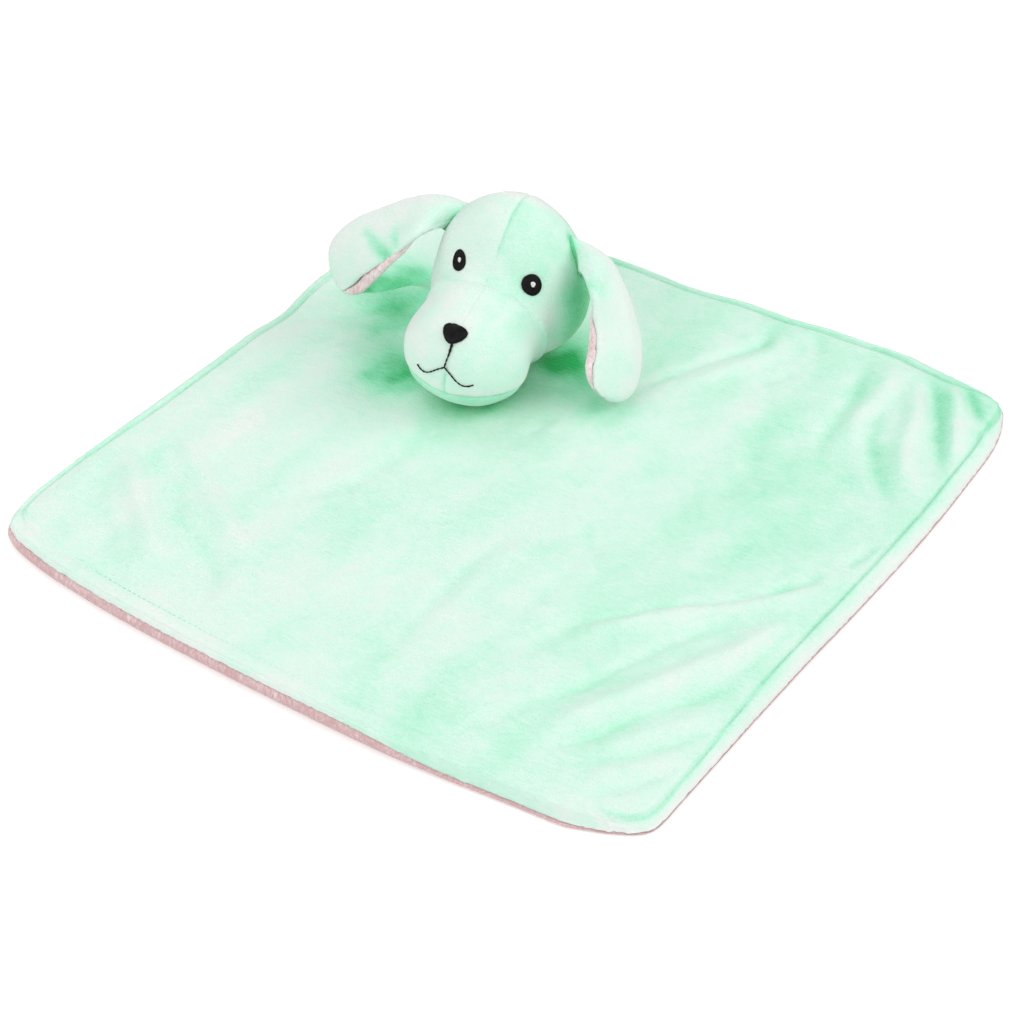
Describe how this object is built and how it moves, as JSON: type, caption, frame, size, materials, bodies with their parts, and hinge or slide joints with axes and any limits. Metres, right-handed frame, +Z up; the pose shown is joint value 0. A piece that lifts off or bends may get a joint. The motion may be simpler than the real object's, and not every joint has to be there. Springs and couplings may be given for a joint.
{
  "type": "comfort blanket",
  "caption": "Square two-layer plush comfort blanket lying flat, with a stuffed puppy head sewn on near one corner and two long hanging ears.",
  "frame": {"origin": "centre of the blanket's underside, in the plane it rests on", "axes": "+Z up, away from the surface it lies on; -Y towards the blanket's front edge, which the puppy's face looks at; +X towards the viewer's right when facing the puppy"},
  "size_m": [0.3752, 0.3752, 0.0951],
  "materials": {
    "mint_plush": "short velvety pile, matte, mint green",
    "pink_plush": "curly short pile, matte, pale pink",
    "white_stuffing": "loose polyester fibre, matte white",
    "black_thread": "satin-stitched embroidery thread, slight sheen, black",
    "white_thread": "satin-stitched embroidery thread, slight sheen, white"
  },
  "bodies": {
    "blanket": {"blanket_back_panel": "pink_plush", "blanket_top_panel": "mint_plush"},
    "neck": {"neck_collar": "mint_plush"},
    "head": {"head_panel_left": "mint_plush", "head_panel_right": "mint_plush", "muzzle_panel_left": "mint_plush", "muzzle_panel_right": "mint_plush", "chin_panel": "mint_plush", "head_stuffing": "white_stuffing", "eye_left": "black_thread", "eye_right": "black_thread", "eye_glint_left": "white_thread", "eye_glint_right": "white_thread", "nose": "black_thread", "mouth": "black_thread"},
    "ear_left": {"ear_left_outer": "mint_plush", "ear_left_lining": "pink_plush"},
    "ear_right": {"ear_right_outer": "mint_plush", "ear_right_lining": "pink_plush"}
  },
  "joints": [
    {"name": "neck_turn", "type": "hinge", "parent": "blanket", "child": "neck", "pos_m": [-0.0605, 0.0845, 0.0093], "axis": [0, 0, 1], "range_deg": [-20, 20]},
    {"name": "head_nod", "type": "hinge", "parent": "neck", "child": "head", "pos_m": [-0.06334, 0.09688, 0.0093], "axis": [-0.9748, -0.2233, 0], "range_deg": [0, 18]},
    {"name": "ear_left_lift", "type": "hinge", "parent": "head", "child": "ear_left", "pos_m": [-0.08119, 0.07566, 0.08628], "axis": [-0.3805, 0.9245, 0.024], "range_deg": [0, 75]},
    {"name": "ear_right_lift", "type": "hinge", "parent": "head", "child": "ear_right", "pos_m": [-0.02936, 0.08753, 0.07852], "axis": [0.0598, -0.9979, 0.024], "range_deg": [0, 75]}
  ]
}
